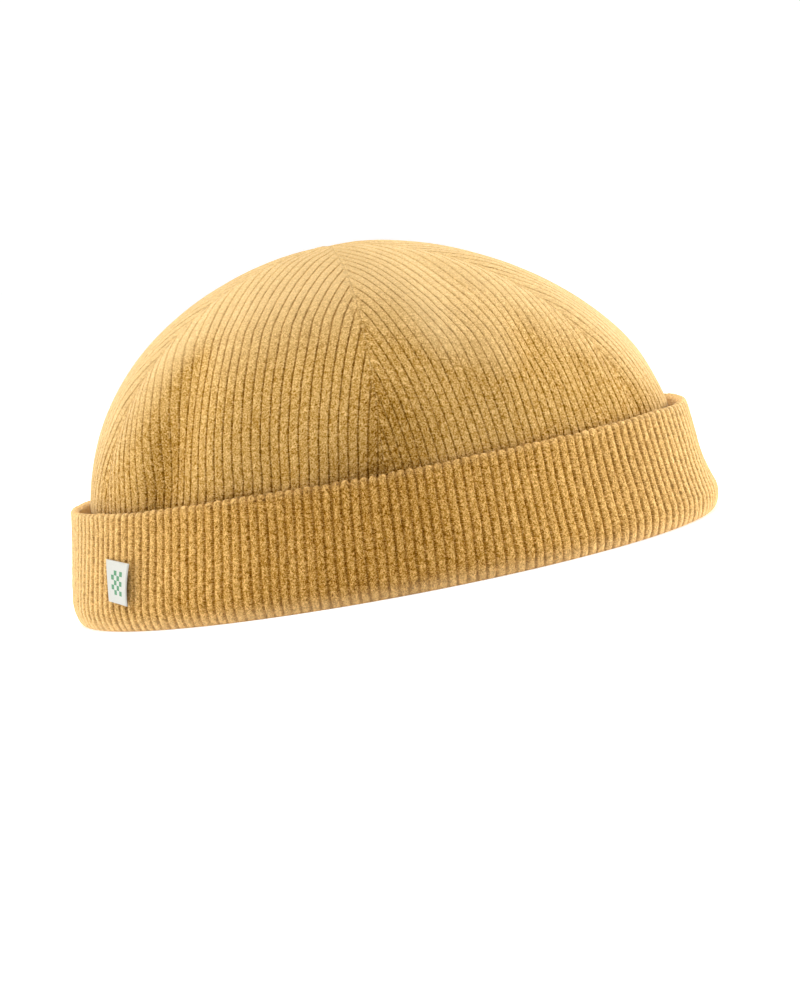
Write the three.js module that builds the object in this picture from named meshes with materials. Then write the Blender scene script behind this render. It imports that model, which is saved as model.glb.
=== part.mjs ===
// Fisherman beanie: six corduroy gores sewn into a low round crown, over a deep turned-up cuff.
// Millimetres, +Z up. The origin is on the floor under the middle of the mouth.
// X runs along the head from back to brow, and -Y is the side that carries the label.
import * as THREE from "three";

// Crown, measured over the tops of the wales.
const crownLength = 199.6;
const crownWidth = 143.5;
const capHeight = 110.9;
const waistHeight = 36;
const sideBulge = 1.753;
const topBulge = 1.974;
const apexShift = -3.6;
const crownCloth = 1.4;

// Corduroy.
const walePitch = 3.2;
const crownWaleDepth = 0.45;
const cuffWaleDepth = 0.6;

// Seams between the gores.
const seamTuck = 1.1;
const seamReach = 4.5;
const seamFade = 0.3;
const seamClearance = 0.3;
const apexPinhole = 1.4;

// Cuff: a double band, sewn to the crown low down inside and turned up outside.
const cuffHeight = 38.8;
const lipStandoff = 7.4;
const foldStandoff = 12;
const cuffCloth = 2.8;
const foldGap = 1;
const foldRise = 8;
const footWidth = 1.2;
const bandSeamHeight = 18;

// Label, sewn along its left edge and free on its right.
const labelWidth = 12;
const labelHeight = 14;
const labelFoot = 10;
const labelCloth = 1;
const labelLift = 1.7;
const labelCornerDrop = 0.4;

// Fineness of the faceting.
const crownRows = 9;
const liningColumns = 8;
const cuffColumns = 72;
const labelColumns = 6;
const labelRows = 4;

// Places on the girth are shares of it, counted anticlockwise from the front middle.
const firstSeam = 0.003;
const labelPlace = -0.177;
const seamTwist = 0.018;

// One row for each gore, anticlockwise from the seam at the front: its share of the girth.
const gores = [
  { name: "crown_panel_1", share: 0.166 },
  { name: "crown_panel_2", share: 0.158 },
  { name: "crown_panel_3", share: 0.157 },
  { name: "crown_panel_4", share: 0.157 },
  { name: "crown_panel_5", share: 0.158 },
  { name: "crown_panel_6", share: 0.204 },
];

// Soft dents and swells of the crown. girth and reach are shares of the girth, rise and
// spread are shares of the height above the waist, and depth is a share of dentDepth.
const dentDepth = 2.4;
const dents = [
  { place: "front seam foot", girth: 0.01, reach: 0.022, rise: 0.12, spread: 0.22, depth: 0.9 },
  { place: "left front hollow", girth: -0.14, reach: 0.012, rise: 0.22, spread: 0.24, depth: 0.4 },
  { place: "left front swell", girth: -0.112, reach: 0.014, rise: 0.25, spread: 0.22, depth: -0.25 },
  { place: "front hollow", girth: -0.076, reach: 0.018, rise: 0.1, spread: 0.16, depth: 0.3 },
  { place: "right front ridge", girth: 0.095, reach: 0.03, rise: 0.6, spread: 0.24, depth: -0.3 },
  { place: "left end", girth: -0.25, reach: 0.05, rise: 0.25, spread: 0.22, depth: 0.45 },
  { place: "right top flat", girth: 0.21, reach: 0.07, rise: 0.78, spread: 0.16, depth: 0.25 },
  { place: "back hollow", girth: 0.42, reach: 0.05, rise: 0.3, spread: 0.25, depth: 0.3 },
];

// Soft dents and swells of the cuff's outer leg, with the same columns. rise and spread are
// shares of the cuff's height.
const cuffDentDepth = 1.6;
const cuffDents = [
  { place: "right end waist", girth: 0.25, reach: 0.05, rise: 0.5, spread: 0.24, depth: 0.75 },
  { place: "right end kick", girth: 0.24, reach: 0.05, rise: 0.08, spread: 0.16, depth: -0.5 },
  { place: "front sag", girth: -0.03, reach: 0.06, rise: 0.5, spread: 0.4, depth: 0.2 },
  { place: "label side swell", girth: -0.13, reach: 0.05, rise: 0.55, spread: 0.4, depth: -0.2 },
  { place: "right front hollow", girth: 0.13, reach: 0.04, rise: 0.55, spread: 0.3, depth: 0.25 },
  { place: "back swell", girth: 0.46, reach: 0.07, rise: 0.5, spread: 0.4, depth: -0.3 },
  { place: "left back hollow", girth: 0.64, reach: 0.05, rise: 0.6, spread: 0.3, depth: 0.3 },
];

const halfLength = crownLength / 2;
const halfWidth = crownWidth / 2;
const crownRise = capHeight - waistHeight;
const cuffWales = Math.round(girthLength(halfLength + lipStandoff, halfWidth + lipStandoff) / walePitch);

// Length round an ellipse, by Ramanujan's formula.
function girthLength(a, b) {
  const h = ((a - b) / (a + b)) ** 2;
  return Math.PI * (a + b) * (1 + (3 * h) / (10 + Math.sqrt(4 - 3 * h)));
}

// The waist ellipse, cut into equal shares of its length.
const girth = girthLength(halfLength, halfWidth);
const girthSteps = 1440;
const girthTurns = (() => {
  const turns = [];
  let length = 0;
  for (let step = 0; step <= girthSteps; step += 1) {
    const turn = -Math.PI / 2 + (step / girthSteps) * 2 * Math.PI;
    turns.push({ turn, length });
    const middle = turn + Math.PI / girthSteps;
    const speed = Math.hypot(halfLength * Math.sin(middle), halfWidth * Math.cos(middle));
    length += (speed * 2 * Math.PI) / girthSteps;
  }
  return turns;
})();

// The point of the waist ellipse at a share of its length, with its outward normal.
function girthPoint(share) {
  const whole = girthTurns[girthSteps].length;
  const target = (share - Math.floor(share)) * whole;
  let low = 0;
  let high = girthSteps;
  while (high - low > 1) {
    const middle = (low + high) >> 1;
    if (girthTurns[middle].length <= target) low = middle;
    else high = middle;
  }
  const before = girthTurns[low];
  const after = girthTurns[high];
  const part = (target - before.length) / (after.length - before.length);
  const turn = before.turn + (after.turn - before.turn) * part;
  const normal = new THREE.Vector2(halfWidth * Math.cos(turn), halfLength * Math.sin(turn)).normalize();
  return { x: halfLength * Math.cos(turn), y: halfWidth * Math.sin(turn), normal };
}

// How far the head side of the wall stands outside the waist ellipse, lower down.
const mouthStandoff = foldStandoff - 2 * cuffCloth - foldGap + crownCloth;
function wallStandoff(height) {
  return (mouthStandoff * (waistHeight - height)) / (waistHeight - foldRise);
}

// Distance from a girth share to another, the short way round.
function girthDistance(from, to) {
  const turn = from - to;
  return Math.abs(turn - Math.round(turn));
}

const seams = gores.map((gore, index) =>
  gores.slice(0, index).reduce((share, earlier) => share + earlier.share, firstSeam));

// Depth of a table's soft dents, as a share of their depth, at a place on the girth.
function softDent(table, share, rise) {
  let depth = 0;
  for (const dent of table) {
    const across = girthDistance(share, dent.girth) / dent.reach;
    const up = (rise - dent.rise) / dent.spread;
    depth += dent.depth * Math.exp(-across * across - up * up);
  }
  return depth;
}

// Depth of the crown below its fair surface: the tuck at the nearest seam, which fades out
// where the seams run together at the apex, and the soft dents.
function crownDent(share, rise, radius) {
  const nearest = Math.min(...seams.map((seam) => girthDistance(share, seam))) * girth * radius;
  const fade = Math.min(1, radius / seamFade);
  const tuck = seamTuck * fade * Math.exp(-((nearest / seamReach) ** 2));
  return tuck + dentDepth * softDent(dents, share, rise);
}

// The crown's fair surface. A level under 0 is below the waist, down to the floor at -1, and
// levels from 0 to 1 climb to the apex by equal turns of the profile.
function crownLevel(level) {
  if (level < 0) {
    const height = waistHeight * (1 + level);
    return { radius: 1, rise: 0, height, standoff: wallStandoff(height) };
  }
  const turn = (level * Math.PI) / 2;
  const rise = Math.sin(turn) ** (2 / sideBulge);
  const radius = Math.cos(turn) ** (2 / topBulge);
  return { radius, rise, height: waistHeight + crownRise * rise, standoff: 0 };
}

function crownFair(share, level) {
  const { radius, rise, height, standoff } = crownLevel(level);
  const base = girthPoint(share + seamTwist * rise);
  const x = base.x * radius + base.normal.x * standoff + apexShift * rise;
  const y = base.y * radius + base.normal.y * standoff;
  return new THREE.Vector3(x, y, height);
}

// A point of the crown at a depth under its fair surface.
function crownPoint(share, level, depth) {
  const nudge = 0.002;
  const along = crownFair(share + nudge, level).sub(crownFair(share - nudge, level));
  const high = Math.min(level + nudge, 1);
  const up = crownFair(share, high).sub(crownFair(share, high - 2 * nudge));
  const normal = along.cross(up).normalize();
  if (level < 0) normal.setZ(0).normalize();
  const { radius, rise } = crownLevel(level);
  const sunk = level < 0 ? 0 : crownDent(share, rise, radius);
  return crownFair(share, level).addScaledVector(normal, -depth - sunk);
}

// Joins rows of points into one closed body. Each row faces the next, with the solid on the
// inner side, and the last row meets the first. Rings close on themselves, and open rows get a
// cap at each end. A point's key is its share of the row, and across its place in millimetres.
function closedBody(rows, isRing) {
  const positions = [];
  const faces = [];
  const rings = rows.map((row) => {
    const ring = row.map(({ key, across, point }) => {
      positions.push(point.x, point.y, point.z);
      return { key, across, index: positions.length / 3 - 1 };
    });
    if (isRing) ring.push({ key: ring[0].key + 1, index: ring[0].index });
    return ring;
  });
  rings.forEach((low, count) => zipRows(faces, low, rings[(count + 1) % rings.length]));
  if (!isRing) {
    const half = rings.length / 2;
    for (let count = 0; count < half - 1; count += 1) {
      const outer = [rings[count], rings[count + 1]];
      const inner = [rings[rings.length - 1 - count], rings[rings.length - 2 - count]];
      const [a, b, c, d] = [outer[0], outer[1], inner[1], inner[0]].map((row) => row[0].index);
      faces.push(a, b, c, a, c, d);
      const [e, f, g, h] = [outer[0], outer[1], inner[1], inner[0]].map((row) => row[row.length - 1].index);
      faces.push(e, g, f, e, h, g);
    }
  }
  const geometry = new THREE.BufferGeometry();
  geometry.setAttribute("position", new THREE.Float32BufferAttribute(positions, 3));
  geometry.setIndex(faces);
  geometry.computeVertexNormals();
  return geometry;
}

// Fills the strip between two rows, always stepping along the row whose next point comes
// first. Rows that both have wales are matched by their place across, wale to wale.
function zipRows(faces, low, high) {
  const measure = low[0].across !== undefined && high[0].across !== undefined ? "across" : "key";
  let a = 0;
  let b = 0;
  while (a < low.length - 1 || b < high.length - 1) {
    const lowNext = a < low.length - 1 ? low[a + 1][measure] : Infinity;
    const highNext = b < high.length - 1 ? high[b + 1][measure] : Infinity;
    if (lowNext <= highNext) {
      faces.push(low[a].index, low[a + 1].index, high[b].index);
      a += 1;
    } else {
      faces.push(low[a].index, high[b + 1].index, high[b].index);
      b += 1;
    }
  }
}

// One gore. Its wales run parallel to its centre line and end at the seams, so each row has
// only the wales that still fit between the seams there.
function goreGeometry(seamBefore, share) {
  const centre = seamBefore + share / 2;
  const levels = [(bandSeamHeight + seamClearance) / waistHeight - 1, 0];
  const lastLevel = 1 - (2 / Math.PI) * Math.asin(Math.min(1, (apexPinhole / halfLength) ** (topBulge / 2)));
  for (let row = 1; row <= crownRows; row += 1) levels.push((lastLevel * row) / crownRows);
  const outer = levels.map((level) => {
    const { radius } = crownLevel(level);
    const half = (share * girth * radius - seamClearance) / 2;
    const row = [-half];
    const margin = walePitch / 8;
    const last = Math.floor((2 * (half - margin)) / walePitch);
    for (let edge = -last; edge <= last; edge += 1) row.push((edge * walePitch) / 2);
    row.push(half);
    return row.map((across) => {
      const isOddHalf = Math.abs(Math.round((2 * across) / walePitch) % 2) === 1;
      const depth = isOddHalf || Math.abs(across) === half ? crownWaleDepth : 0;
      const point = crownPoint(centre + across / (girth * radius), level, depth);
      return { key: across / half, across, point };
    });
  });
  const inner = levels.map((level) => {
    const { radius } = crownLevel(level);
    const half = (share * girth * radius - seamClearance) / 2;
    const row = [];
    for (let column = 0; column <= liningColumns; column += 1) {
      const key = (2 * column) / liningColumns - 1;
      const place = centre + (half * key) / (girth * radius);
      row.push({ key, point: crownPoint(place, level, crownCloth) });
    }
    return row;
  });
  return closedBody([...outer, ...inner.reverse()], false);
}

// A point of the cuff, standing outside the waist ellipse at a height.
function cuffPoint(share, standoff, height) {
  const base = girthPoint(share);
  return new THREE.Vector3(base.x + base.normal.x * standoff, base.y + base.normal.y * standoff, height);
}

const lipRadius = cuffCloth / 2;
const foldWidth = 2 * cuffCloth + foldGap;
const foldSoft = (foldWidth - footWidth) / 2;

// The rounding of the bottom fold, from the flat of the foot at 0 degrees to the leg at 90.
function foldCurve(turn) {
  const angle = THREE.MathUtils.degToRad(turn);
  return { inset: foldSoft * (1 - Math.sin(angle)), height: foldRise * (1 - Math.cos(angle)) };
}

// Stand-off of the cuff's fair outer face at a height above its bottom fold.
function cuffFace(height) {
  const share = (height - foldRise) / (cuffHeight - lipRadius - foldRise);
  return foldStandoff + (lipStandoff - foldStandoff) * share;
}

// How far the cuff's outer leg lies inside its fair place.
function cuffSunk(share, height) {
  return cuffDentDepth * softDent(cuffDents, share, height / cuffHeight);
}

// Section of the cuff as a closed loop: up the outer face, over the lip, down inside it, round
// the bottom of the gap, up and over the sewn edge, and down the head side to the foot.
function cuffSection() {
  const section = [];
  const lipCentre = lipStandoff - lipRadius;
  const lipHeight = cuffHeight - lipRadius;
  for (const turn of [45, 90]) {
    const { inset, height } = foldCurve(turn);
    section.push({ standoff: foldStandoff - inset, height, hasWales: true });
  }
  const middle = (foldRise + lipHeight) / 2;
  section.push({ standoff: cuffFace(middle), height: middle, hasWales: true, isOuterLeg: true });
  section.push({ standoff: lipStandoff, height: lipHeight, hasWales: true, isOuterLeg: true });
  for (const turn of [60, 120]) {
    const angle = THREE.MathUtils.degToRad(turn);
    const standoff = lipCentre + lipRadius * Math.cos(angle);
    const height = lipHeight + lipRadius * Math.sin(angle);
    section.push({ standoff, height, hasWales: turn < 90, isOuterLeg: true });
  }
  section.push({ standoff: lipStandoff - cuffCloth, height: lipHeight, isOuterLeg: true });
  section.push({ standoff: cuffFace(middle) - cuffCloth, height: middle, isOuterLeg: true });
  section.push({ standoff: foldStandoff - cuffCloth, height: foldRise });
  section.push({ standoff: foldStandoff - cuffCloth - foldGap / 2, height: foldRise - foldGap });
  section.push({ standoff: foldStandoff - cuffCloth - foldGap, height: foldRise });
  const headSide = wallStandoff(bandSeamHeight) - crownCloth;
  section.push({ standoff: headSide + cuffCloth, height: bandSeamHeight });
  section.push({ standoff: headSide, height: bandSeamHeight });
  for (const turn of [90, 45, 0]) {
    const { inset, height } = foldCurve(turn);
    section.push({ standoff: foldStandoff - foldWidth + inset, height });
  }
  section.push({ standoff: foldStandoff - foldSoft, height: 0 });
  return section;
}

function cuffGeometry() {
  const rows = cuffSection().map(({ standoff, height, hasWales, isOuterLeg }) => {
    const columns = hasWales ? cuffWales * 2 : cuffColumns;
    const row = [];
    for (let column = 0; column < columns; column += 1) {
      const isValley = hasWales && column % 2 === 1;
      const share = column / columns;
      const sunk = (isValley ? cuffWaleDepth : 0) + (isOuterLeg ? cuffSunk(share, height) : 0);
      row.push({ key: share, point: cuffPoint(share, standoff - sunk, height) });
    }
    return row;
  });
  return closedBody(rows, true);
}

// The label lies along the cuff's outer face at its sewn edge and curls off it at the other.
function labelGeometry() {
  const faceRow = (up, depth) => {
    const height = labelFoot + labelHeight * up;
    const row = [];
    for (let column = 0; column <= labelColumns; column += 1) {
      const across = column / labelColumns;
      const lift = labelLift * across ** 2 * (1 - labelCornerDrop * (1 - Math.sin(Math.PI * up)));
      const share = labelPlace + (across * labelWidth) / (girth + 2 * Math.PI * foldStandoff);
      const seat = cuffFace(height) - cuffSunk(share, height) + seamClearance;
      row.push({ key: across, point: cuffPoint(share, seat + lift + labelCloth - depth, height) });
    }
    return row;
  };
  const rows = [];
  for (let row = 0; row <= labelRows; row += 1) rows.push(faceRow(row / labelRows, 0));
  for (let row = labelRows; row >= 0; row -= 1) rows.push(faceRow(row / labelRows, labelCloth));
  return closedBody(rows, false);
}

const ochreCorduroy = new THREE.MeshStandardMaterial({ color: 0xc99a4e, roughness: 0.95, metalness: 0 });
const ochreCuff = new THREE.MeshStandardMaterial({ color: 0xc0914a, roughness: 0.95, metalness: 0 });
const whiteSatin = new THREE.MeshStandardMaterial({ color: 0xe9e7e2, roughness: 0.6, metalness: 0 });

function namedMesh(name, geometry, material) {
  const mesh = new THREE.Mesh(geometry, material);
  mesh.name = name;
  return mesh;
}

const beanie = new THREE.Group();
gores.forEach(({ name, share }, index) => {
  beanie.add(namedMesh(name, goreGeometry(seams[index], share), ochreCorduroy));
});
beanie.add(namedMesh("cuff", cuffGeometry(), ochreCuff));
beanie.add(namedMesh("label", labelGeometry(), whiteSatin));

export default beanie;
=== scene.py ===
"""Fisherman beanie of ochre corduroy: six sewn gores over a deep turned-up cuff, with a small tag."""
import math

import bpy
import numpy as np
from mathutils import Matrix, Vector


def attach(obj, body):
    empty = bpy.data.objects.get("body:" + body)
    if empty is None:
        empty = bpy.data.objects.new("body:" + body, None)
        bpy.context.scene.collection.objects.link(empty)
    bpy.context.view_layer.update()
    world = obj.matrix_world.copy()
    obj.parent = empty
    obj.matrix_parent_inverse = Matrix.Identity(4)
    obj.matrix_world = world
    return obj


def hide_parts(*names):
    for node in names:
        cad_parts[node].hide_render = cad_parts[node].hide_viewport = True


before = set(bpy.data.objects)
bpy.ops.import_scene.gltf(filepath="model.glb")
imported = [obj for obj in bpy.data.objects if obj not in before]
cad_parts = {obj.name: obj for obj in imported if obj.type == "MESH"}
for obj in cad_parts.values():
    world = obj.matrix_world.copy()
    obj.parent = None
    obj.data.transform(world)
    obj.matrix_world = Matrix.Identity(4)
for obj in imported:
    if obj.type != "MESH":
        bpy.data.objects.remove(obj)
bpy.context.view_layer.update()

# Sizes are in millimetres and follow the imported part. MM turns them into metres.
MM = 0.001
CROWN_LENGTH = 199.6
CROWN_WIDTH = 143.5
CAP_HEIGHT = 110.9
WAIST_HEIGHT = 36.0
SIDE_BULGE = 1.753
TOP_BULGE = 1.974
APEX_SHIFT = -3.6
CROWN_CLOTH = 1.4
CROWN_LINING = 1.8
CUFF_HEIGHT = 38.8
LIP_STANDOFF = 7.4
FOLD_STANDOFF = 12.0
CUFF_CLOTH = 2.8
FOLD_GAP = 1.0
FOLD_RISE = 8.0
FOOT_WIDTH = 1.2
BAND_SEAM_HEIGHT = 18.0
LABEL_WIDTH = 12.0
LABEL_HEIGHT = 14.0
LABEL_CLOTH = 0.8
LABEL_SEAT = 0.3
LABEL_LIFT = 1.7
LABEL_CORNER_DROP = 0.4
LABEL_EDGE = 0.4
LABEL_GRID = (36, 42)

# The tag's corners as it hangs: girth place and height, from the foot of its left edge, anticlockwise.
LABEL_CORNERS = [(-0.1768, 10.9), (-0.1600, 9.2), (-0.1568, 22.8), (-0.1780, 24.6)]

# Corduroy: one wale every 3.2 mm, with a narrow valley on the crown and a wider one where the
# cuff bends the cloth outwards. A phase is a share of the pitch, counted from a valley.
WALE_PITCH = 3.2
CROWN_VALLEY = {"depth": 0.85, "spread": 0.18, "round": 0.07, "tuft": 0.08}
CUFF_VALLEY = {"depth": 1.00, "spread": 0.40, "round": 0.13, "tuft": 0.13}
SHOULDER_POWER = 2.4
VALLEY_FILL = 0.80
CROWN_PHASES = np.array([0, 0.045, 0.10, 0.17, 0.30, 0.50, 0.70, 0.83, 0.90, 0.955])
CUFF_PHASES = np.array([0, 0.08, 0.17, 0.31, 0.50, 0.69, 0.83, 0.92])
CROWN_ROW = 0.65
CUFF_ROW = 0.9
HIDDEN_ROW = 3.5
LIP_ROW = 0.8 * CUFF_ROW
HEAD_ROW = 0.6 * HIDDEN_ROW
GAP_ROW = 1.0
INNER_FOLD_ROW = 1.5
HIDDEN_CROWN_ROWS = 5
LINING_COLUMNS = 17
SPARE_WALES = 6
WALES_TO_A_GORE = 64

# Places on the girth are shares of it, counted anticlockwise from the front middle.
FIRST_SEAM = 0.003
SEAM_TWIST = 0.018
GORE_SHARES = [0.166, 0.158, 0.157, 0.157, 0.158, 0.204]
SEAM_TUCK = 0.85
SEAM_REACH = 4.5
SEAM_FADE = 0.3
SEAM_CREASE = 0.05
SEAM_CREASE_REACH = 0.8
SEAM_GAP = 0.01
SEAM_MARGIN = 0.12
SEAM_LINE_WIDTH = 0.7
SEAM_LINE_DEPTH = 0.15
SEAM_BLEND = 1.6
SEAM_RELIEF = 0.3
RUFFLE_DEPTH = 0.1
BILLOW_FADE = 4
WORN_SEAM = 0.5
WORN_SEAM_REACH = 3.0
APEX_PINHOLE = 0.35
TURNING_ALLOWANCE = 0.7
TURNING_WIDTH = 6.0
TURNING_STEEPNESS = 3

# Soft dents: girth place and reach, rise and spread up the piece, and depth (under 0 is a swell).
DENT_DEPTH = 2.4
CROWN_DENTS = [
    (0.014, 0.022, 0.10, 0.28, 1.35),
    (-0.020, 0.026, 0.03, 0.13, 0.95),
    (-0.085, 0.018, 0.03, 0.13, 0.50),
    (0.000, 0.160, 0.00, 0.10, -0.60),
    (0.500, 0.160, 0.00, 0.10, -0.50),
    (-0.143, 0.017, 0.20, 0.38, 1.55),
    (-0.168, 0.012, 0.20, 0.26, -0.15),
    (0.122, 0.013, 0.46, 0.15, 0.55),
    (0.146, 0.012, 0.24, 0.15, 0.55),
    (-0.064, 0.014, 0.08, 0.22, 0.35),
    (-0.098, 0.014, 0.10, 0.24, -0.25),
    (0.095, 0.030, 0.60, 0.24, -0.30),
    (0.056, 0.018, 0.58, 0.20, -0.65),
    (0.086, 0.018, 0.38, 0.14, -0.40),
    (0.108, 0.020, 0.78, 0.14, 0.60),
    (-0.150, 0.026, 0.55, 0.22, 0.70),
    (-0.250, 0.050, 0.25, 0.22, 0.45),
    (0.210, 0.070, 0.78, 0.16, 0.25),
    (0.420, 0.050, 0.30, 0.25, 0.30),
]
CUFF_DENT_DEPTH = 1.6
CUFF_DENTS = [
    (0.00, 0.17, 1.00, 0.45, 2.00),
    (0.50, 0.16, 1.00, 0.45, 1.70),
    (0.25, 0.05, 0.50, 0.24, 0.75),
    (0.24, 0.05, 0.08, 0.16, -0.50),
    (-0.03, 0.06, 0.50, 0.40, 0.20),
    (-0.13, 0.05, 0.55, 0.40, -0.20),
    (0.13, 0.04, 0.55, 0.30, 0.25),
    (0.46, 0.07, 0.50, 0.40, -0.30),
    (0.64, 0.05, 0.60, 0.30, 0.30),
]

# Where the cap turns round its ends, the wales are left this share of their relief. They have all of
# it where their normal's part from front to back is over the second value.
END_RELIEF = 0.3
END_FACING = 0.5

# How much painted shade the crown's colour takes, with painted light where it is low: most where the cloth
# faces the front or the back, less from where it starts to face up, more in a dent and less on a swell.
FRONT_FACING_SHADE = 1.3
UPWARD_LIGHT = 1.15
UP_START = 0.25
DENT_SHADE = 0.5
DENT_SHADE_POWER = 1.5
SWELL_LIGHT = 0.6

# The lip, foot and turned-up leg of the cuff: how far each reaches, what it does to the wales, and how much
# paler the lip and foot are painted; along the foot that paling is painted light.
LIP_REACH = 1.6
LIP_SMOOTHING = 0.3
LIP_CAPS = 0.45
LIP_PALING = 0.12
FOOT_REACH = 3.6
FOOT_FLAT = 0.8
FOOT_PAINTED_LIGHT = 0.36
EDGE_CREASE = 0.2
LEG_ROWS = 0.75

# How far down the turned-up leg's inner face the fine rows go, in shares of its height. Counted back
# from there, in rows: where the wales end and over how many they fade, and where the cloth's reverse
# starts and over how many it comes.
SEEN_INSIDE = 0.15
WALES_END = 2
WALES_FADE = 6
REVERSE_START = 8
REVERSE_BLEND = 4

# The front of the cuff takes painted shade: how much, the middle of that along the cap and its reach.
FRONT_BAND_SHADE = 0.50
FRONT_BAND_SHADE_MIDDLE = -10
FRONT_BAND_SHADE_REACH = 40

# The photograph's view of the hat.
CAMERA_DISTANCE = 1.029
CAMERA_ELEVATION = math.radians(7.56)
CAMERA_ROLL = math.radians(-10.62)
CAMERA_AIM = (0.0005, 0.0215)
PIXELS_OF_FOCUS = 3001.0
PICTURE_HEIGHT = 1000.0

HALF_LENGTH = CROWN_LENGTH / 2
HALF_WIDTH = CROWN_WIDTH / 2
CROWN_RISE = CAP_HEIGHT - WAIST_HEIGHT
LIP_RADIUS = CUFF_CLOTH / 2
LIP_CENTRE_HEIGHT = CUFF_HEIGHT - LIP_RADIUS
FOLD_WIDTH = 2 * CUFF_CLOTH + FOLD_GAP
FOLD_SOFT = (FOLD_WIDTH - FOOT_WIDTH) / 2
MOUTH_STANDOFF = FOLD_STANDOFF - FOLD_WIDTH + CROWN_CLOTH
SEAMS = FIRST_SEAM + np.concatenate([[0], np.cumsum(GORE_SHARES)[:-1]])

# How far each seam strays from its place, at the waist and at the apex, in shares of the girth.
SEAM_STRAY = [(-0.0015, -0.0015), (0.012, -0.009), (0, 0), (0, 0), (0, 0), (0, 0)]

# The cloth is eased round the head: each gore's wale spacing against the flat cloth's.
GORE_EASE = [0.91, 0.95, 0.97, 0.97, 0.97, 1.0]

# Where the wales lean: gore, slope, the run up the gore it starts and ends at, and the middle and
# reach across the gore, in mm.
CROWN_LEANS = [
    (5, -0.10, 8, 30, 10, 60),
    (5, -0.14, 30, 62, 10, 60),
    (5, -0.12, 6, 60, -30, 16),
    (0, 0.02, 0, 30, 0, 60),
    (0, 0.07, 30, 60, 0, 60),
    (0, -0.20, 43, 56, -5, 11),
]
CUFF_LEAN = 0.065


# Camera

def place_camera():
    """A long lens from a little above the cuff, rolled so that the hat's right end sits higher."""
    across = Vector((1, 0, 0))
    upright = Vector((0, math.sin(CAMERA_ELEVATION), math.cos(CAMERA_ELEVATION)))
    right = across * math.cos(CAMERA_ROLL) + upright * math.sin(CAMERA_ROLL)
    up = upright * math.cos(CAMERA_ROLL) - across * math.sin(CAMERA_ROLL)
    eye = Vector((0, -math.cos(CAMERA_ELEVATION), math.sin(CAMERA_ELEVATION))) * CAMERA_DISTANCE
    aim = right * CAMERA_AIM[0] + up * CAMERA_AIM[1]
    back = (eye - aim).normalized()
    right = up.cross(back).normalized()
    up = back.cross(right)
    data = bpy.data.cameras.new("camera")
    data.sensor_fit = "AUTO"
    data.sensor_width = 36.0
    data.lens = data.sensor_width * PIXELS_OF_FOCUS / PICTURE_HEIGHT
    data.clip_start = 0.01
    data.clip_end = 20.0
    camera = bpy.data.objects.new("camera", data)
    camera.matrix_world = Matrix((
        (right.x, up.x, back.x, eye.x),
        (right.y, up.y, back.y, eye.y),
        (right.z, up.z, back.z, eye.z),
        (0, 0, 0, 1),
    ))
    bpy.context.scene.collection.objects.link(camera)
    bpy.context.scene.camera = camera


# Girth curve and fair surfaces

def girth_curve():
    """Turns and running lengths round the waist ellipse, from the front middle."""
    turn = -math.pi / 2 + np.linspace(0, 2 * math.pi, 2881)
    middle = (turn[1:] + turn[:-1]) / 2
    speed = np.hypot(HALF_LENGTH * np.sin(middle), HALF_WIDTH * np.cos(middle))
    length = np.concatenate([[0], np.cumsum(speed * np.diff(turn))])
    return turn, length


GIRTH_TURN, GIRTH_RUN = girth_curve()
GIRTH = GIRTH_RUN[-1]


def girth_point(share):
    """Points of the waist ellipse and its outward normals, at shares of its length."""
    turn = np.interp(share % 1.0, GIRTH_RUN / GIRTH, GIRTH_TURN)
    x, y = HALF_LENGTH * np.cos(turn), HALF_WIDTH * np.sin(turn)
    nx, ny = HALF_WIDTH * np.cos(turn), HALF_LENGTH * np.sin(turn)
    size = np.hypot(nx, ny)
    return x, y, nx / size, ny / size


def girth_distance(a, b):
    turn = a - b
    return np.abs(turn - np.round(turn))


def seam_place(number, rise):
    low, high = SEAM_STRAY[number]
    return SEAMS[number] + low + (high - low) * rise


def crown_lean(number, across, run):
    """How far the wales of a gore have strayed sideways by a given run, in mm."""
    lean = 0 * across
    for gore_number, slope, start, stop, middle, reach in CROWN_LEANS:
        if gore_number == number:
            stray = slope * np.clip(run - start, 0, stop - start)
            lean = lean + stray * np.exp(-((across - middle) / reach) ** 2)
    return lean


def soft_dent(table, share, rise):
    depth = np.zeros(np.broadcast(share, rise).shape)
    for girth, reach, height, spread, size in table:
        across = girth_distance(share, girth) / reach
        up = (rise - height) / spread
        depth += size * np.exp(-across**2 - up**2)
    return depth


def wall_standoff(height):
    return MOUTH_STANDOFF * (WAIST_HEIGHT - height) / (WAIST_HEIGHT - FOLD_RISE)


def crown_level(level):
    """Radius share, rise share, height and stand-off of the crown. Levels under 0 are below the waist."""
    turn = np.clip(level, 0, 1) * math.pi / 2
    rise = np.sin(turn) ** (2 / SIDE_BULGE)
    radius = np.clip(np.cos(turn), 0, 1) ** (2 / TOP_BULGE)
    below = np.minimum(level, 0)
    height = np.where(level < 0, WAIST_HEIGHT * (1 + below), WAIST_HEIGHT + CROWN_RISE * rise)
    standoff = np.where(level < 0, wall_standoff(height), 0.0)
    return radius, rise, height, standoff


def crown_fair(share, level):
    radius, rise, height, standoff = crown_level(level)
    x, y, nx, ny = girth_point(share + SEAM_TWIST * rise)
    return np.stack([x * radius + nx * standoff + APEX_SHIFT * rise,
                     y * radius + ny * standoff,
                     height + 0 * x], axis=-1)


def crown_normal(share, level):
    nudge = 0.002
    along = crown_fair(share + nudge, level) - crown_fair(share - nudge, level)
    high = np.minimum(level + nudge, 1)
    up = crown_fair(share, high) - crown_fair(share, high - 2 * nudge)
    normal = np.cross(along, up)
    return normal / np.linalg.norm(normal, axis=-1, keepdims=True)


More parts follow.
